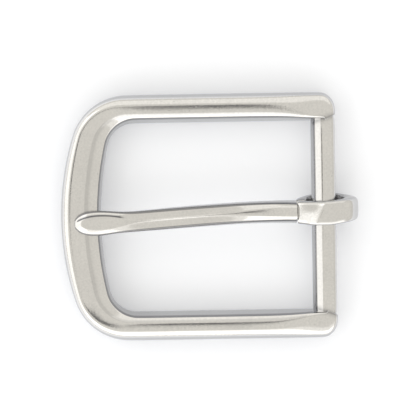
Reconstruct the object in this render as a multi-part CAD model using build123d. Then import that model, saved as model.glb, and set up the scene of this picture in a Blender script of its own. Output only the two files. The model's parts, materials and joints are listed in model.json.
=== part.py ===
from build123d import *

import os

# A single-prong belt buckle for a 35 mm dress strap, lying face up, in millimetres.
# Origin: the centre of the heel bar, on the axis that the tongue swings about.
# +X runs from the front rail to the heel bar, +Y along the bar, +Z out of the face.

# Opening between the rails
STRAP_WIDTH = 35.0
STRAP_PLAY = 1.0
OPENING_LENGTH = 40.2
OPENING_BOW = 66.0
OPENING_CORNER = 5.0
WALL_DRAFT = 5.0

# Outside of the frame
SIDE_RAIL_WIDTH = 5.7
FRONT_RAIL_WIDTH = 8.1
FRAME_BOW = 52.0
FRONT_CORNER = 11.0
HEEL_CORNER = 3.2
FRAME_BACK = -3.5
FRAME_TOP = 2.0
EDGE_ROUND = 2.6
BACK_CHAMFER = 0.4

# Inside the crest the face slopes down to the opening's edge
CREST_FROM_SIDE = 2.8
CREST_FROM_FRONT = 1.95
CREST_CORNER = 8.5
INNER_EDGE_HEIGHT = 1.1
INNER_EDGE_OUT = 0.5

# Heel bar, cast in one with the frame
BAR_WIDTH = 4.8
BAR_THICKNESS = 2.9
BAR_ROUND = 1.1
BAR_LAND = 2.4

# Loop of the tongue, wrapped round the bar
HOLE_LENGTH = 7.0
HOLE_HEIGHT = 5.2
HOLE_OUT = 0.2
LOOP_HEIGHT = 8.8
LOOP_END = 6.7
LOOP_WIDTH = 4.55
LOOP_EDGE_ROUND = 0.7
LOOP_TOP_ACROSS = 0.45
LOOP_BOTTOM_ACROSS = 2.0
ROOT_OUT = 0.8
ROOT_ROUND = 3.0
SHOULDER = 5.25
SEAM_WIDTH = 0.2
SEAM_DEPTH = 4.2
SEAM_LEAN = 28.0

# Shaft of the tongue: six-sided, with the walls' top and the flat as shares of its width and height
WALL_SHARE = 0.6
WALL_TOP_WIDTH = 0.74
FLAT_WIDTH = 0.4

# Stations along the shaft: distance from the bar, place along the bar, width, underside, top
SHAFT_STATIONS = (
    (5.25, 0.74, 4.80, -1.00, 4.10),
    (9.0, 0.84, 4.60, 1.00, 4.15),
    (14.2, 0.80, 4.52, 1.20, 4.20),
    (25.7, 0.18, 4.50, 1.25, 4.10),
    (38.2, -0.65, 4.13, 1.30, 4.00),
    (43.0, -0.78, 5.00, 1.45, 3.90),
    (47.9, -0.88, 5.20, 2.15, 3.50),
)

# Spoon-shaped tip, in plan
TIP_REACH = 47.8
TIP_ACROSS = -0.87
TIP_LENGTH = 3.4
TIP_WIDTH = 5.1

bar_half = BAR_WIDTH / 2
opening_half = (STRAP_WIDTH + STRAP_PLAY) / 2
outer_half = opening_half + SIDE_RAIL_WIDTH
opening_front = -bar_half - OPENING_LENGTH
frame_front = opening_front - FRONT_RAIL_WIDTH
frame_height = FRAME_TOP - FRAME_BACK
past_heel = bar_half + HEEL_CORNER


def at_height(shape, height):
    return Pos(0, 0, height) * shape


def bowed_plate(front, half_width, bow, front_corner, heel):
    """A flat outline with straight sides, a bowed front with round corners, and a square heel."""
    plate = Pos((front + heel) / 2, 0) * Rectangle(heel - front, 2 * half_width)
    plate &= Pos(front + bow, 0) * Circle(bow)
    return fillet(plate.vertices().sort_by(Axis.X)[:2], front_corner)


def frame_blank():
    """The outside of the frame, rounded over to its face."""
    outline = bowed_plate(frame_front, outer_half, FRAME_BOW, FRONT_CORNER, bar_half)
    outline = fillet(outline.vertices().sort_by(Axis.X)[-2:], HEEL_CORNER)
    blank = extrude(at_height(outline, FRAME_BACK), frame_height)
    blank = fillet(blank.edges().group_by(Axis.Z)[-1], EDGE_ROUND)
    return chamfer(blank.edges().group_by(Axis.Z)[0], BACK_CHAMFER)


def opening():
    """What the strap passes through, with drafted walls, open at the heel for the bar."""
    outline = bowed_plate(opening_front, opening_half, OPENING_BOW, OPENING_CORNER, past_heel)
    return extrude(at_height(outline, FRAME_BACK), frame_height, taper=-WALL_DRAFT)


def face_slope():
    """What is taken off the face between the crest and the opening's edge."""
    edge = bowed_plate(
        opening_front - INNER_EDGE_OUT, opening_half + INNER_EDGE_OUT, OPENING_BOW, OPENING_CORNER, past_heel
    )
    crest = bowed_plate(
        frame_front + CREST_FROM_FRONT, outer_half - CREST_FROM_SIDE, FRAME_BOW, CREST_CORNER, past_heel
    )
    return loft([at_height(edge, INNER_EDGE_HEIGHT), at_height(crest, FRAME_TOP)], ruled=True)


def heel_gap():
    """The flared gap at the heel that cuts each side rail's end off at a slant."""
    flared_half = opening_half + past_heel
    outline = Polyline(
        (0, -opening_half), (past_heel, -flared_half), (past_heel, flared_half), (0, opening_half), close=True
    )
    return extrude(at_height(make_face(outline), FRAME_BACK), frame_height)


def heel_bar():
    """The bar's rounded section, carried on into the land at the end of each side rail."""
    section = RectangleRounded(BAR_WIDTH, BAR_THICKNESS, BAR_ROUND)
    return extrude(Plane.XZ * section, opening_half + BAR_LAND, both=True)


def frame():
    """One casting: two round side rails, a broad front rail that slopes inwards, and the heel bar."""
    return frame_blank() - opening() - face_slope() - heel_gap() + heel_bar()


def loop():
    """The strap end wrapped round the bar. It leans, so its underside lies further towards +Y."""
    half_height = LOOP_HEIGHT / 2
    end_centre = LOOP_END - half_height
    band = Pos((end_centre - SHOULDER) / 2, 0) * Rectangle(end_centre + SHOULDER, LOOP_HEIGHT)
    band += Pos(end_centre, 0) * Circle(half_height)
    root = Pos(-(SHOULDER + ROOT_OUT) / 2, -half_height / 2) * Rectangle(SHOULDER + ROOT_OUT, half_height)
    low_left = root.vertices().sort_by(Axis.Y)[:2].sort_by(Axis.X)[0]
    band += fillet(low_left, ROOT_ROUND)
    band = extrude(Plane.XZ * band, LOOP_WIDTH, both=True)

    half_width = LOOP_WIDTH / 2
    lean = Polyline(
        (LOOP_TOP_ACROSS - half_width, half_height), (LOOP_TOP_ACROSS + half_width, half_height),
        (LOOP_BOTTOM_ACROSS + half_width, -half_height), (LOOP_BOTTOM_ACROSS - half_width, -half_height),
        close=True,
    )
    band &= extrude(Plane.YZ * make_face(lean), SHOULDER + LOOP_END, both=True)
    end_edges = band.edges().filter_by(GeomType.ELLIPSE).sort_by(Axis.X)[-2:]
    band = fillet(end_edges, LOOP_EDGE_ROUND)

    hole = Plane.XZ * Pos(HOLE_OUT, 0) * SlotOverall(HOLE_LENGTH, HOLE_HEIGHT)
    return band - extrude(hole, 2 * LOOP_WIDTH, both=True)


def seam():
    """The slit where the wrapped end meets the shaft's shoulder, leaning in to reach the hole."""
    slit = Box(SEAM_WIDTH, 4 * LOOP_WIDTH, 2 * SEAM_DEPTH)
    return Pos(-SHOULDER, 0, LOOP_HEIGHT / 2) * Rot(0, -SEAM_LEAN, 0) * slit


def shaft_section(reach, across, width, low, high):
    """The shaft's section at a distance from the bar: steep walls, two bevels and a flat."""
    wall_top = low + WALL_SHARE * (high - low)
    half = width / 2
    outline = Polyline(
        (across - half, low), (across + half, low),
        (across + half * WALL_TOP_WIDTH, wall_top), (across + half * FLAT_WIDTH, high),
        (across - half * FLAT_WIDTH, high), (across - half * WALL_TOP_WIDTH, wall_top),
        close=True,
    )
    return Plane(origin=(-reach, 0, 0), x_dir=(0, 1, 0), z_dir=(1, 0, 0)) * make_face(outline)


def shaft():
    """The shaft from the shoulder to the tip, ending in the spoon's round outline."""
    body = loft([shaft_section(*station) for station in SHAFT_STATIONS])
    tip_centre = TIP_REACH - TIP_LENGTH
    plan = Pos(-tip_centre / 2, 0) * Rectangle(tip_centre, 2 * TIP_WIDTH)
    plan += Pos(-tip_centre, TIP_ACROSS) * Ellipse(TIP_LENGTH, TIP_WIDTH / 2)
    return body & extrude(plan, 2 * LOOP_HEIGHT, both=True)


def tongue():
    """One piece: a faceted shaft, a spoon-shaped tip, and the loop that holds it on the bar."""
    return shaft() + loop() - seam()


if __name__ == "__main__":
    os.makedirs("parts", exist_ok=True)
    export_step(frame(), "parts/frame.step")
    export_step(tongue(), "parts/tongue.step")
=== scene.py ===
import json
import math

import bpy
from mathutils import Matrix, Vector

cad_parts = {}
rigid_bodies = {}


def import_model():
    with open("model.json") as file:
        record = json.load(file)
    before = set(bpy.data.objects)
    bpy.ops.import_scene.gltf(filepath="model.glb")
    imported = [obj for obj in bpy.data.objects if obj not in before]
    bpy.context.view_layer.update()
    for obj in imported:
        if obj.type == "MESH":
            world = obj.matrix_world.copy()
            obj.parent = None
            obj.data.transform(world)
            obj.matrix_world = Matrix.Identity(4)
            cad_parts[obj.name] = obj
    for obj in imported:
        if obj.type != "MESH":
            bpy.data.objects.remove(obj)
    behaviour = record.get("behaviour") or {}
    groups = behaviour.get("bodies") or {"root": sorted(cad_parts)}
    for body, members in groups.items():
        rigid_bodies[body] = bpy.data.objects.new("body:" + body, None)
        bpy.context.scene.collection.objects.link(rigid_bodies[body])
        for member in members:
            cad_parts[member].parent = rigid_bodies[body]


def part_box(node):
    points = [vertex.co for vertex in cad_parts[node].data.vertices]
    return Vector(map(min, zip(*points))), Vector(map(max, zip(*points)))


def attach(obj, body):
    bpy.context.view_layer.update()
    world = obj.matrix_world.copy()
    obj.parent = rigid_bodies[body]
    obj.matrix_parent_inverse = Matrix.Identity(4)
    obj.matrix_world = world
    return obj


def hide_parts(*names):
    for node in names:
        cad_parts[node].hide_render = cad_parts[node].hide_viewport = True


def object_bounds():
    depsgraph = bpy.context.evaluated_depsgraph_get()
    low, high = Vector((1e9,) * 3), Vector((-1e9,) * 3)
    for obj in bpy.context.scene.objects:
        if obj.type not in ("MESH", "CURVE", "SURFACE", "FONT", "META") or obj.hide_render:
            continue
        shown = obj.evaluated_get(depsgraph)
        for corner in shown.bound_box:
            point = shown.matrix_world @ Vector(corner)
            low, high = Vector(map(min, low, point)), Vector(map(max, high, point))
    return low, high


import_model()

cad_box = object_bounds()


# The frame: one solid casting of stainless steel, ground and buffed. Half of it is drawn as
# lengthwise lines, from the end of a side rail round the corner to the middle of the front rail.
# The lines are bridged into a tube, which is mirrored, smoothed and fused with the heel bar.

mm = 0.001
frame_low, frame_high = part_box("frame")
front = frame_low.x
half_width = frame_high.y
rail_width = 5.7 * mm
opening_half = half_width - rail_width
outer_bow = 52 * mm
bow_gain = 14 * mm
outer_corner = 11 * mm
corner_loss = 6 * mm


def start_form(name):
    """A new object at the origin with an empty mesh, left open in edit mode."""
    bpy.ops.object.select_all(action="DESELECT")
    bpy.ops.mesh.primitive_plane_add(size=mm)
    form = bpy.context.object
    form.name = name
    bpy.ops.object.mode_set(mode="EDIT")
    bpy.ops.mesh.delete(type="VERT")
    return form


def put_point(x, y, z):
    """A lone selected vertex to draw from."""
    bpy.ops.mesh.select_all(action="DESELECT")
    bpy.ops.mesh.primitive_plane_add(size=mm, location=(x, y, z))
    bpy.ops.mesh.merge(type="CENTER")


def draw_on(x, y, z):
    """Extrudes what is selected by this much."""
    bpy.ops.mesh.extrude_region_move(TRANSFORM_OT_translate={"value": (x, y, z)})


def draw_line(points):
    put_point(*points[0])
    for here, there in zip(points, points[1:]):
        draw_on(*(b - a for a, b in zip(here, there)))


def keep_as(form, group_name):
    """What is linked to the selection becomes a named group."""
    bpy.ops.mesh.select_linked()
    form.vertex_groups.new(name=group_name)
    bpy.ops.object.vertex_group_assign()


def bridge_groups(form, first, second):
    bpy.ops.mesh.select_all(action="DESELECT")
    for group_name in (first, second):
        form.vertex_groups.active_index = form.vertex_groups[group_name].index
        bpy.ops.object.vertex_group_select()
    bpy.ops.mesh.bridge_edge_loops()


# The end of a rail turns about the opening's corner: the turn in degrees, and how far out the
# line then is as a share of its reach. Behind it, each line eases from its place at the heel to
# its place on the side rail: the distance from the bar in mm, and the share of the change.
rail_end = ((62, 0.485), (53, 0.54), (41, 0.65), (26, 0.82), (10, 0.944), (0, 1))
heel_blend = ((1.8, 0.08), (3.6, 0.30), (6.0, 0.68), (9.5, 1.0))
straight_shares = (0.33, 0.67, 1.0)
corner_steps = 9
bow_steps = 5


def rail_line(side_inset, front_inset, heel_inset, side_height, front_height, heel_height):
    """One line along a rail, drawn from its end at the heel to the middle of the front rail."""
    reach = rail_width - heel_inset
    points = []
    for turn, share in rail_end:
        out = reach * share
        turn = math.radians(turn)
        points.append((out * math.sin(turn), opening_half + out * math.cos(turn), heel_height))
    for back, share in heel_blend:
        inset = heel_inset + (side_inset - heel_inset) * share
        height = heel_height + (side_height - heel_height) * share
        points.append((-back * mm, half_width - inset, height))

    bow = outer_bow + bow_gain * side_inset / rail_width
    corner = outer_corner - corner_loss * side_inset / rail_width
    bow_centre = front + front_inset + bow
    side = half_width - side_inset
    corner_y = side - corner
    corner_x = bow_centre - math.sqrt((bow - corner) ** 2 - corner_y**2)
    blend_end = points[-1][0]
    for share in straight_shares:
        points.append((blend_end + (corner_x - blend_end) * share, side, side_height))
    bow_turn = math.atan2(corner_y, bow_centre - corner_x)
    for step in range(1, corner_steps + 1):
        share = step / corner_steps
        turn = (math.pi / 2 - bow_turn) * share
        x = corner_x - corner * math.sin(turn)
        y = corner_y + corner * math.cos(turn)
        points.append((x, y, side_height + (front_height - side_height) * share))
    draw_line(points)
    bow_middle = (bow_centre, 0, front_height)
    bpy.ops.mesh.spin(steps=bow_steps, angle=bow_turn, center=bow_middle, axis=(0, 0, -1))


# Each line in mm: how far in from the outside it is on the side rail, on the front rail and at the
# heel, then its height at the same three places. They go up the outside, over the crest, down the
# two slopes to the edge of the opening, and back under.
rail_lines = (
    (0.50, 0.50, 0.50, -3.50, -3.50, -3.50),
    (0.00, 0.00, 0.00, -3.20, -3.20, -3.20),
    (0.00, 0.00, 0.00, -0.90, -0.90, -1.00),
    (0.12, 0.07, 0.12, 0.10, 0.15, 0.10),
    (0.52, 0.26, 0.45, 0.95, 0.92, 0.95),
    (0.98, 0.60, 0.95, 1.50, 1.38, 1.44),
    (1.48, 1.06, 1.90, 1.85, 1.78, 1.65),
    (1.93, 1.42, 2.80, 2.01, 1.965, 1.75),
    (2.18, 1.68, 3.50, 2.03, 2.02, 1.82),
    (2.70, 2.30, 3.95, 2.012, 1.94, 1.86),
    (3.22, 3.40, 4.35, 1.984, 1.77, 1.88),
    (3.52, 4.20, 4.58, 1.957, 1.645, 1.885),
    (3.80, 4.78, 4.72, 1.91, 1.55, 1.88),
    (4.00, 4.95, 4.86, 1.80, 1.51, 1.85),
    (4.42, 6.85, 4.98, 1.52, 1.12, 1.78),
    (4.55, 7.12, 5.06, 1.44, 1.06, 1.70),
    (4.65, 7.25, 5.14, 1.25, 0.88, 1.50),
    (5.60, 7.75, 5.60, -3.20, -3.20, -3.20),
    (5.35, 7.50, 5.35, -3.50, -3.50, -3.50),
)
outside_lines = ("line_1", "line_2", "line_3", "line_4")
slope_change_lines = ("line_12", "line_13")
opening_edge_lines = ("line_15", "line_16")
opening_wall_lines = ("line_16", "line_17", "line_18")
rails = start_form("frame_casting")
for number, line in enumerate(rail_lines):
    rail_line(*(size * mm for size in line))
    keep_as(rails, f"line_{number}")
for number in range(len(rail_lines)):
    bridge_groups(rails, f"line_{number}", f"line_{(number + 1) % len(rail_lines)}")


def select_where(form, test):
    """In edit mode, selects the vertices whose place passes the test."""
    bpy.ops.mesh.select_mode(type="VERT")
    bpy.ops.mesh.select_all(action="DESELECT")
    bpy.ops.object.mode_set(mode="OBJECT")
    for vertex in form.data.vertices:
        vertex.select = test(vertex.co)
    bpy.ops.object.mode_set(mode="EDIT")


def cap(form, test, rim):
    """Closes the end of a tube with a face that keeps a crisp rim."""
    select_where(form, test)
    bpy.ops.mesh.edge_face_add()
    bpy.ops.mesh.inset(thickness=rim)


# The rail's end face has the points of the first turn, which lie below this slope.
near = 0.01 * mm
turn_to_spare = 2
end_slope = 1 / math.tan(math.radians(rail_end[0][0] - turn_to_spare))
heel_rim = 0.3 * mm
cap(rails, lambda p: p.x > near and p.y - opening_half < p.x * end_slope, heel_rim)
rails.vertex_groups.new(name="heel_end")
bpy.ops.object.vertex_group_assign()
bpy.ops.object.mode_set(mode="OBJECT")


def turn_outward(form):
    """Closed forms only: every face looks out."""
    bpy.context.view_layer.objects.active = form
    bpy.ops.object.mode_set(mode="EDIT")
    bpy.ops.mesh.select_all(action="SELECT")
    bpy.ops.mesh.normals_make_consistent(inside=False)
    bpy.ops.object.mode_set(mode="OBJECT")


def finish_with(form, kind, **settings):
    """Adds one modifier and applies it."""
    bpy.ops.object.select_all(action="DESELECT")
    form.select_set(True)
    bpy.context.view_layer.objects.active = form
    modifier = form.modifiers.new(kind.title(), kind)
    for key, value in settings.items():
        setattr(modifier, key, value)
    bpy.ops.object.modifier_apply(modifier=modifier.name)


finish_with(rails, "MIRROR", use_axis=(False, True, False), merge_threshold=0.05 * mm)
turn_outward(rails)
finish_with(rails, "SUBSURF", levels=2)


def paint_lines(form, name, groups, strength=1.0):
    """A value on the mesh for its material: the strength along the lines of these groups, and from
    there down to 0 at the lines next to them."""
    wanted = {form.vertex_groups[group].index for group in groups}
    value = form.data.attributes.new(name, "FLOAT", "POINT")
    for vertex in form.data.vertices:
        weight = sum(member.weight for member in vertex.groups if member.group in wanted)
        value.data[vertex.index].value = min(1.0, weight) * strength


def paint_by(form, name, rule):
    """Sets the value where the rule gives one for a vertex's place in mm and its normal."""
    value = form.data.attributes[name]
    for vertex in form.data.vertices:
        found = rule(vertex.co / mm, vertex.normal)
        if found is not None:
            value.data[vertex.index].value = found


# Painted reflection and shade on the rails: the edge value paints a dark reflection line along the opening's
# edge, the wall value a grey reflection of the shaded floor outside, on the opening's walls and at the heel
# end, and a painted shade line runs where the front rail's two slopes meet.
slope_change_shade = 0.8
paint_lines(rails, "edge", opening_edge_lines)
paint_lines(rails, "wall", outside_lines + opening_wall_lines + ("heel_end",))
paint_lines(rails, "painted_shade_line", slope_change_lines, slope_change_shade)
rails.vertex_groups.clear()

# The heel bar is cast in one with the frame: a faceted rod with a steep front side, a narrow slope
# and a broad flat top. It is drawn as a section in mm, carried across, and fused with both rails.
bar_section = (
    (-2.42, -0.60), (-2.36, -0.15), (-1.64, 0.74), (-1.50, 0.84), (-0.58, 1.29), (-0.46, 1.325),
    (-0.20, 1.34), (0.10, 1.32), (0.85, 1.22), (1.05, 1.18), (1.88, 0.95), (2.14, 0.60), (2.30, 0.00),
    (2.38, -0.60), (1.80, -1.45), (-1.80, -1.45),
)
bar_end = opening_half + 2.2 * mm
bar_taper = 1.2 * mm
bar_tip_share = 0.7
bar_middle = (0, 0, -0.1 * mm)
bar_runs = 12
bar = start_form("heel_bar")
draw_line([(x * mm, -bar_end, z * mm) for x, z in bar_section])
bpy.ops.mesh.select_all(action="SELECT")
bpy.ops.mesh.edge_face_add()
draw_on(0, bar_taper, 0)
for _ in range(bar_runs):
    draw_on(0, 2 * (bar_end - bar_taper) / bar_runs, 0)
draw_on(0, bar_taper, 0)
select_where(bar, lambda p: abs(p.y) > bar_end - near)
bpy.ops.transform.resize(value=(bar_tip_share, 1, bar_tip_share), center_override=bar_middle)
bpy.ops.object.mode_set(mode="OBJECT")
turn_outward(bar)
finish_with(bar, "SUBSURF", levels=3)
finish_with(rails, "BOOLEAN", operation="UNION", solver="MANIFOLD", object=bar)
bpy.data.objects.remove(bar)
joint_angle = math.radians(38)
joint_round = 0.14 * mm
finish_with(rails, "BEVEL", width=joint_round, segments=3, limit_method="ANGLE", angle_limit=joint_angle)
smooth_angle = math.radians(35)
bpy.ops.object.shade_smooth_by_angle(angle=smooth_angle)

# Painted reflection and shade on the bar, in mm: a dark painted reflection line on the ridge over its
# front side, a grey painted reflection on that side, a slightly grey one on the slope up to the crest,
# a grey one on its far side, and a painted shade line where it runs into the slanting end of each side rail.
bar_ridge = -1.57
ridge_width = 0.3
ridge_floor = 0.4
side_floor = -1
bar_crest = -0.55
slope_painted_grey = 0.2
heel_side = 1.5
heel_side_painted_grey = 0.6
bar_reach = 2.6
bar_shows = opening_half / mm + 0.5
root_reach = 1.5 * bar_reach
root_shows = bar_shows + 2
root_start = opening_half / mm + 0.25
root_slope = 0.33
root_turn_x = -0.6
root_width = 1.7
root_shade_strength = 1.05
root_floor = 0.3
root_front = -2.4


def on_bar(place):
    return abs(place.y) < bar_shows and math.hypot(place.x, place.z) < bar_reach


def bar_painted_dark_line(place, normal):
    if on_bar(place):
        return max(0, 1 - abs(place.x - bar_ridge) / ridge_width) * (place.z > ridge_floor)


def bar_painted_grey(place, normal):
    if on_bar(place):
        if place.x < bar_ridge and place.z > side_floor:
            return 1.0
        return max(slope_painted_grey * (place.x < bar_crest), heel_side_painted_grey * min(1, place.x - heel_side))


def bar_root_painted_shade(place, normal):
    if math.hypot(place.x, place.z) < root_reach and abs(place.y) < root_shows:
        off = abs(abs(place.y) - (root_start + root_slope * (place.x - root_turn_x)))
        return max(0, root_shade_strength - off / root_width) * (place.z > root_floor and place.x > root_front)


paint_by(rails, "edge", bar_painted_dark_line)
paint_by(rails, "wall", bar_painted_grey)
paint_by(rails, "painted_shade_line", bar_root_painted_shade)


class Shade:
    """A socket of a material's node tree, which can be used in sums."""

    def __init__(self, tree, socket=None):
        self.tree = tree
        self.socket = socket

    def node(self, kind, settings=None, inputs=None, output=0):
        """Adds a node: first its settings, then the values or links of its sockets."""
        made = self.tree.nodes.new(kind)
        for key, value in (settings or {}).items():
            setattr(made, key, value)
        for key, value in (inputs or {}).items():
            if isinstance(value, Shade):
                self.tree.links.new(value.socket, made.inputs[key])
            else:
                made.inputs[key].default_value = value
        return Shade(self.tree, made.outputs[output]) if made.outputs else made

    def sum(self, operation, first, second):
        return self.node("ShaderNodeMath", {"operation": operation}, {0: first, 1: second})

    def __add__(self, other):
        return self.sum("ADD", self, other)

    def __mul__(self, other):
        return self.sum("MULTIPLY", self, other)

    def __sub__(self, other):
        return self.sum("SUBTRACT", self, other)

    def __rsub__(self, other):
        return self.sum("SUBTRACT", other, self)

    def __pow__(self, other):
        return self.sum("POWER", self, other)

    __radd__ = __add__
    __rmul__ = __mul__


# The steel's tones: bright and dull are the metal's own, the grey is a painted reflection on walls and
# sides, and the dark is painted reflection and shade along edges, in creases and inside the loop's hole.
bright_steel = (0.80, 0.79, 0.775, 1)
dull_steel = (0.61, 0.605, 0.60, 1)
painted_grey_steel = (0.41, 0.415, 0.43, 1)
painted_dark_steel = (0.14, 0.14, 0.15, 1)


def polished_steel(name, lay):
    """Cast stainless steel, tumbled and buffed: faint polishing lines along `lay`, cloudy wipe marks,
    a fine grain, small pits left by the casting, and greyer metal in patches where the buff did not reach.
    On top of this, painted reflection and shade: a grey painted reflection on the walls and sides, dark
    painted reflection lines along sharp edges, and painted shade in creases and inside the loop's hole."""
    steel = bpy.data.materials.new(name)
    steel.use_nodes = True
    tree = steel.node_tree
    tree.nodes.clear()
    shade = Shade(tree)

    def noise(place, scale, detail, roughness=0.5):
        settings = {"Vector": place, "Scale": scale, "Detail": detail, "Roughness": roughness}
        return shade.node("ShaderNodeTexNoise", inputs=settings)

    def painted(value_name):
        return shade.node("ShaderNodeAttribute", {"attribute_name": value_name}, output=2)

    def blend(amount, first, second):
        """First where the amount is 0, second where it is 1."""
        mix = {"data_type": "RGBA", "clamp_factor": True}
        return shade.node("ShaderNodeMix", mix, {0: amount, 6: first, 7: second}, output=2)

    def step(value, start, end, **more):
        eased = {"interpolation_type": "SMOOTHSTEP"}
        return shade.node(
            "ShaderNodeMapRange", eased, {"Value": value, "From Min": start, "From Max": end, **more}
        )

    place = shade.node("ShaderNodeTexCoord", output=3)
    lines_place = shade.node("ShaderNodeMapping", inputs={"Vector": place, "Scale": lay})
    lines = noise(lines_place, 1.0, 5.0, 0.6)
    clouds = noise(place, 160.0, 3.0)
    grain = noise(place, 2600.0, 2.0)
    spots = shade.node("ShaderNodeTexVoronoi", {"feature": "F1"}, {"Vector": place, "Scale": 620.0})
    rough_patches = shade.node(
        "ShaderNodeMapRange", inputs={"Value": clouds, "From Min": 0.52, "From Max": 0.62}
    )
    pits = step(spots, 0.05, 0.16, **{"To Min": 1.0, "To Max": 0.0}) * rough_patches
    # Painted light from here on: the edge value paints dark reflection lines and the shade inside the loop's
    # hole, the wall value a grey painted reflection, and the third value a painted shade line.
    painted_dark_mask = step(painted("edge"), 0.82, 1.0)
    wall = painted("wall")
    painted_shade_line = painted("painted_shade_line") ** 4
    # Real dullness from the clouds, lines, grain and pits, with painted shade from the wall value and the
    # third value added to it.
    dull_and_painted_shade = clouds * 0.45 + lines * 0.35 + grain * 0.7 - 0.4 + pits * 0.5 + wall * 0.25 + painted_shade_line * 0.25
    buffed = blend(dull_and_painted_shade, bright_steel, dull_steel)
    with_painted_grey = blend(wall * 0.75, buffed, painted_grey_steel)
    colour = blend(painted_dark_mask * 0.8 + painted_shade_line * 0.45, with_painted_grey, painted_dark_steel)
    height = lines + grain * 0.5 - pits * 2
    bump = shade.node(
        "ShaderNodeBump", inputs={"Strength": 0.2, "Distance": 0.00002, "Height": height}
    )
    roughness = dull_and_painted_shade * 0.14 + 0.07 + painted_dark_mask * 0.1
    surface = shade.node(
        "ShaderNodeBsdfPrincipled",
        inputs={"Base Color": colour, "Metallic": 1.0, "Roughness": roughness, "Normal": bump},
    )
    shade.node("ShaderNodeOutputMaterial", inputs={"Surface": surface})
    return steel


rails.data.materials.clear()
rails.data.materials.append(polished_steel("frame_steel", (2500, 350, 900)))
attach(rails, "frame")
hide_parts("frame")


# The tongue: one piece of stainless steel that swings on the heel bar. Its shaft is drawn as
# lengthwise edges from the shoulder to the spoon tip, and its loop as a band that is wrapped round
# the bar, with a thin seam left between the shoulder and the band's free end.

def skin(form, lines):
    """Draws each line point by point, then bridges them into a tube, the last line to the first."""
    for number, line in enumerate(lines):
        draw_line(line)
        keep_as(form, f"line_{number}")
    for number in range(len(lines)):
        bridge_groups(form, f"line_{number}", f"line_{(number + 1) % len(lines)}")


# Each station in mm: distance from the bar, place along the bar, half width, underside, wall top,
# top, wall top and flat as shares of the half width, and how far the middle is above the flat
shaft_stations = (
    (5.30, 0.74, 2.38, -0.90, 3.30, 3.88, 0.68, 0.36, 0.00),
    (5.60, 0.74, 2.40, -0.70, 3.38, 3.97, 0.68, 0.36, 0.00),
    (7.50, 0.82, 2.36, 0.60, 3.46, 4.08, 0.70, 0.38, 0.00),
    (10.0, 0.83, 2.31, 1.05, 3.58, 4.18, 0.72, 0.36, 0.00),
    (13.5, 0.80, 2.27, 1.15, 3.74, 4.22, 0.75, 0.28, 0.02),
    (18.0, 0.62, 2.25, 1.20, 3.92, 4.18, 0.78, 0.12, 0.03),
    (23.5, 0.30, 2.25, 1.25, 3.86, 4.12, 0.80, 0.07, 0.04),
    (29.0, -0.06, 2.22, 1.25, 3.80, 4.08, 0.83, 0.06, 0.04),
    (34.0, -0.42, 2.13, 1.30, 3.76, 4.04, 0.87, 0.07, 0.03),
    (37.0, -0.62, 2.06, 1.35, 3.70, 4.02, 0.90, 0.14, 0.01),
    (39.2, -0.68, 2.10, 1.42, 3.64, 3.99, 0.92, 0.40, -0.06),
    (41.2, -0.73, 2.32, 1.52, 3.56, 3.93, 0.93, 0.50, -0.14),
    (43.1, -0.80, 2.52, 1.68, 3.46, 3.84, 0.93, 0.50, -0.16),
    (44.9, -0.84, 2.46, 1.90, 3.32, 3.70, 0.93, 0.46, -0.13),
    (46.3, -0.86, 2.10, 2.12, 3.14, 3.52, 0.92, 0.34, -0.06),
    (47.25, -0.88, 1.50, 2.28, 2.90, 3.22, 0.92, 0.20, 0.00),
    (47.75, -0.88, 0.70, 2.40, 2.74, 2.90, 0.90, 0.15, 0.00),
)
shoulder = shaft_stations[0][0] * mm
tip = shaft_stations[-1][0] * mm
spoon = slice(10, 16)
edge_gap = 0.09
edge_lean = 0.6
underside_share = 0.82
foot_share = 0.15


def shaft_point(station, side, edge):
    reach, across, half, low, wall_top, top, wall_share, flat_share, middle = station
    out, height = {
        "underside": (underside_share * half, low),
        "foot": (half, low + foot_share * (wall_top - low)),
        "wall": (wall_share * half + edge_gap * edge_lean, wall_top - edge_gap),
        "bevel": (wall_share * half - edge_gap, wall_top + edge_gap * edge_lean),
        "brow": (flat_share * half + edge_gap, top - edge_gap * edge_lean),
        "flat": (flat_share * half - edge_gap * edge_lean, top),
        "middle": (0, top + middle),
    }[edge]
    return (-reach * mm, (across + side * out) * mm, height * mm)


edges = ("underside", "foot", "wall", "bevel", "brow", "flat")
round_the_shaft = [(1, edge) for edge in edges] + [(0, "middle")]
round_the_shaft += [(-1, edge) for edge in reversed(edges)]
tongue = start_form("buckle_tongue")
skin(tongue, [[shaft_point(station, *place) for station in shaft_stations] for place in round_the_shaft])
seam_rim = 0.08 * mm
tip_rim = 0.15 * mm
cap(tongue, lambda p: p.x > -shoulder - near, seam_rim)
cap(tongue, lambda p: p.x < -tip + near, tip_rim)
spoon_rim = [Vector(shaft_point(station, 1, "brow")) for station in shaft_stations[spoon]]
select_where(tongue, lambda p: min((p - point).length for point in spoon_rim) < near)
tongue.vertex_groups.new(name="spoon_rim")
bpy.ops.object.vertex_group_assign()
bpy.ops.object.mode_set(mode="OBJECT")
turn_outward(tongue)
finish_with(tongue, "SUBSURF", levels=2)


def shaft_lines(*wanted):
    return [f"line_{number}" for number, place in enumerate(round_the_shaft) if place[1] in wanted]


# Painted reflection and shade on the shaft: dark reflection lines along the wall and bevel edges, a grey
# painted reflection on the side walls, and a painted shade line along the spoon's rim.
spoon_rim_shade = 1.45
paint_lines(tongue, "edge", shaft_lines("wall", "bevel"))
paint_lines(tongue, "wall", shaft_lines("wall", "foot"))
paint_lines(tongue, "painted_shade_line", ["spoon_rim"], spoon_rim_shade)
tongue.vertex_groups.clear()

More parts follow.
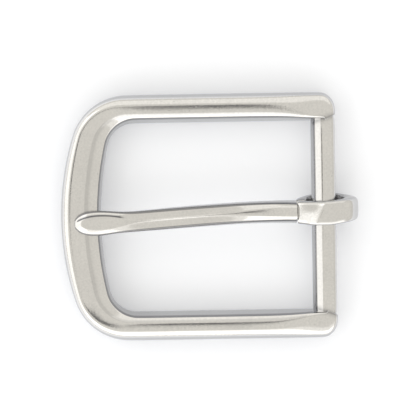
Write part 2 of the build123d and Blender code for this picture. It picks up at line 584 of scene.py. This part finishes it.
# The band's run, each station in mm: where its inner face is, the way it thickens in degrees, its
# thickness, half width and place along the bar. It starts at the seam, climbs to a slanting ridge,
# passes over the bar, swells at the end of the loop, and comes back under the bar to the shaft.
hole_radius = 2.65
hole_near = -0.7
hole_far = 1.1
top_across = 0.45
under_across = 2.05
root_across = 0.95
band_thickness = 1.70
band_half = 2.36
root_half = 2.25
root_narrows = 0.15
root_gain = 1.2
root_turn = 100
end_gain = 1.35
end_narrows = 0.1
far_steps = 9
near_steps = 4
ridge_reach = 3
crest_skew = 0.4
band_stations = [
    (-5.16, 0.60, 90, 2.40, 2.16, 0.64),
    (-4.95, 0.55, 90, 2.53, 2.22, 0.62),
    (-3.40, 0.95, 90, 2.63, 2.30, 0.53),
    (-2.20, 1.95, 90, 2.04, 2.34, 0.48),
    (-0.86, 2.60, 90, 1.84, 2.35, 0.46),
    (-0.70, 2.64, 90, 1.84, 2.36, 0.45),
    (-0.58, 2.65, 90, 1.83, 2.36, 0.45),
]


def hole_station(centre, angle, thickness, half, across):
    """A station where the band follows one of the hole's round ends."""
    turn = math.radians(angle)
    x, z = centre + hole_radius * math.cos(turn), hole_radius * math.sin(turn)
    band_stations.append((x, z, angle, thickness, half, across))


for step in range(far_steps + 1):
    share = step / far_steps
    angle = 90 - 180 * share
    bulge = max(0, math.cos(math.radians(angle))) ** 2
    across = top_across + (under_across - top_across) * share
    hole_station(hole_far, angle, band_thickness + end_gain * bulge, band_half - end_narrows * bulge, across)
for step in range(near_steps + 1):
    share = step / near_steps
    across = under_across + (root_across - under_across) * share
    thickness, half = band_thickness + root_gain * share**2, root_half - root_narrows * share
    hole_station(hole_near, -90 - root_turn * share, thickness, half, across)


def band_point(station, across_share, depth_share):
    x, z, angle, thickness, half, across = station
    turn = math.radians(angle)
    if angle == 90 and -ridge_reach < x < 0:
        x += crest_skew * half * across_share
    out = thickness * depth_share
    y = across + half * across_share
    return ((x + out * math.cos(turn)) * mm, y * mm, (z + out * math.sin(turn)) * mm)


# Half of the band's section: shares of its half width and of its thickness
half_section = ((0.85, 0.0), (0.99, 0.10), (1.0, 0.60), (0.93, 0.90), (0.60, 1.0))
round_the_band = half_section + tuple((-share, depth) for share, depth in reversed(half_section))
band = start_form("loop_band")
skin(band, [[band_point(station, *place) for station in band_stations] for place in round_the_band])
free_end = band_stations[0][0] * mm
cap(band, lambda p: abs(p.x - free_end) < near and p.z > 0, seam_rim)
bpy.ops.mesh.select_all(action="DESELECT")
bpy.ops.mesh.select_mode(type="EDGE")
bpy.ops.mesh.select_non_manifold()
bpy.ops.mesh.edge_face_add()
bpy.ops.object.mode_set(mode="OBJECT")
turn_outward(band)
finish_with(band, "SUBSURF", levels=2)
finish_with(tongue, "BOOLEAN", operation="UNION", solver="MANIFOLD", object=band)
bpy.data.objects.remove(band)
bpy.ops.object.shade_smooth_by_angle(angle=smooth_angle)

# Painted shade and reflection on the loop, in mm: painted shade inside the hole, a grey painted reflection
# on its sides, less of it round its end and a little on the slope by the seam, and no painted shade line.
seam = -5.2
hole_skin = 0.15
side_gain = 1.5
slope_end = -2.4
slope_skew = 0.5
seam_slope_painted_grey = 0.15
loop_end = 4.6
loop_end_width = 1.4
loop_end_painted_grey = 0.7


def loop_hole_painted_shade(place, normal):
    if place.x > seam:
        along = min(max(place.x, hole_near), hole_far)
        return float(math.hypot(place.x - along, place.z) < hole_radius + hole_skin)


def loop_painted_grey(place, normal):
    if place.x > seam:
        side = min(1, side_gain * normal.y**2)
        end = loop_end_painted_grey * min(1, (place.x - loop_end) / loop_end_width)
        return max(side, end, seam_slope_painted_grey * (place.x < slope_end + slope_skew * place.y))


paint_by(tongue, "edge", loop_hole_painted_shade)
paint_by(tongue, "wall", loop_painted_grey)
paint_by(tongue, "painted_shade_line", lambda place, normal: 0.0 if place.x > seam else None)
tongue.data.materials.clear()
tongue.data.materials.append(polished_steel("tongue_steel", (300, 2600, 1200)))
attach(tongue, "tongue")
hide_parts("tongue")

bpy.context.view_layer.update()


# The floor: a sheet of white paper that the loop's underside rests on. It glows a little, as paper
# that is lit from all round does.
floor_drop = 0.02 * mm
bpy.ops.object.select_all(action="DESELECT")
bpy.ops.mesh.primitive_plane_add(size=3.0, location=(0, 0, cad_box[0].z - floor_drop))
floor = bpy.context.object
floor.name = "floor"
floor_paper = bpy.data.materials.new("white_paper")
floor_paper.use_nodes = True
paper = floor_paper.node_tree.nodes["Principled BSDF"].inputs
paper["Base Color"].default_value = (0.84, 0.86, 0.91, 1)
paper["Emission Color"].default_value = (1, 1, 1, 1)
paper["Emission Strength"].default_value = 0.15
paper["Roughness"].default_value = 1.0
paper["Specular IOR Level"].default_value = 0.0
floor.data.materials.append(floor_paper)

# The light: an even warm sky, white sheets low at the front and at the left, and a fainter one
# behind. Each sheet is a flat lamp that faces the buckle.
world = bpy.data.worlds.new("studio")
world.use_nodes = True
world.node_tree.nodes["Background"].inputs["Color"].default_value = (0.87, 0.845, 0.785, 1)
world.node_tree.nodes["Background"].inputs["Strength"].default_value = 0.96
bpy.context.scene.world = world
buckle_middle = (cad_box[0] + cad_box[1]) / 2
sheet_distance = 0.5


def light_sheet(name, azimuth, elevation, size, radiance, colour):
    """Azimuth 0 is in front and 90 at the right, both angles in degrees, the size in metres."""
    lamp = bpy.data.lights.new(name, "AREA")
    lamp.shape = "RECTANGLE"
    lamp.size, lamp.size_y = size
    lamp.energy = radiance * math.pi * size[0] * size[1]
    lamp.color = colour
    sheet = bpy.data.objects.new(name, lamp)
    bpy.context.collection.objects.link(sheet)
    around, up = math.radians(azimuth), math.radians(elevation)
    away = Vector((math.sin(around) * math.cos(up), -math.cos(around) * math.cos(up), math.sin(up)))
    sheet.location = buckle_middle + away * sheet_distance
    sheet.rotation_euler = away.to_track_quat("Z", "Y").to_euler()


light_sheet("front_sheet", 0, 30, (1.0, 0.45), 0.55, (1, 1, 1))
light_sheet("front_glow", 0, 36, (1.2, 0.58), 0.25, (1, 1, 1))
light_sheet("left_sheet", -90, 32, (1.0, 0.5), 0.58, (1, 1, 1))
light_sheet("rear_sheet", 180, 38, (0.9, 0.45), 0.26, (1, 0.99, 0.97))

# The camera looks down on the buckle, a little from behind and a little turned.
camera_tilt = math.radians(-1.6)
camera_turn = math.radians(-0.95)
camera_distance = 0.375
aim = Vector((-22.3, 1.7, 0)) * mm
camera = bpy.data.objects.new("camera", bpy.data.cameras.new("camera"))
bpy.context.collection.objects.link(camera)
camera.data.lens = 168.75
camera.rotation_euler = (camera_tilt, 0, camera_turn)
camera.location = aim + camera.rotation_euler.to_matrix() @ Vector((0, 0, camera_distance))
bpy.context.scene.camera = camera

# The dark front of the lens, which the buckle mirrors where it faces straight up: a black card.
lens_place = camera.location - Vector((0, 0.004, 0))
lens_size = (0.06, 0.036, 1)
bpy.ops.object.select_all(action="DESELECT")
bpy.ops.mesh.primitive_plane_add(size=1, location=lens_place)
bpy.ops.transform.resize(value=lens_size, center_override=lens_place)
lens_front = bpy.context.object
lens_front.name = "lens_front"
lens_front.visible_camera = False
lens_front.visible_shadow = False
lens_front.visible_diffuse = False
lens_black = bpy.data.materials.new("lens_black")
lens_black.use_nodes = True
lens_black.node_tree.nodes["Principled BSDF"].inputs["Base Color"].default_value = (0.08, 0.08, 0.08, 1)
lens_front.data.materials.append(lens_black)
bpy.context.scene.view_settings.view_transform = "Standard"
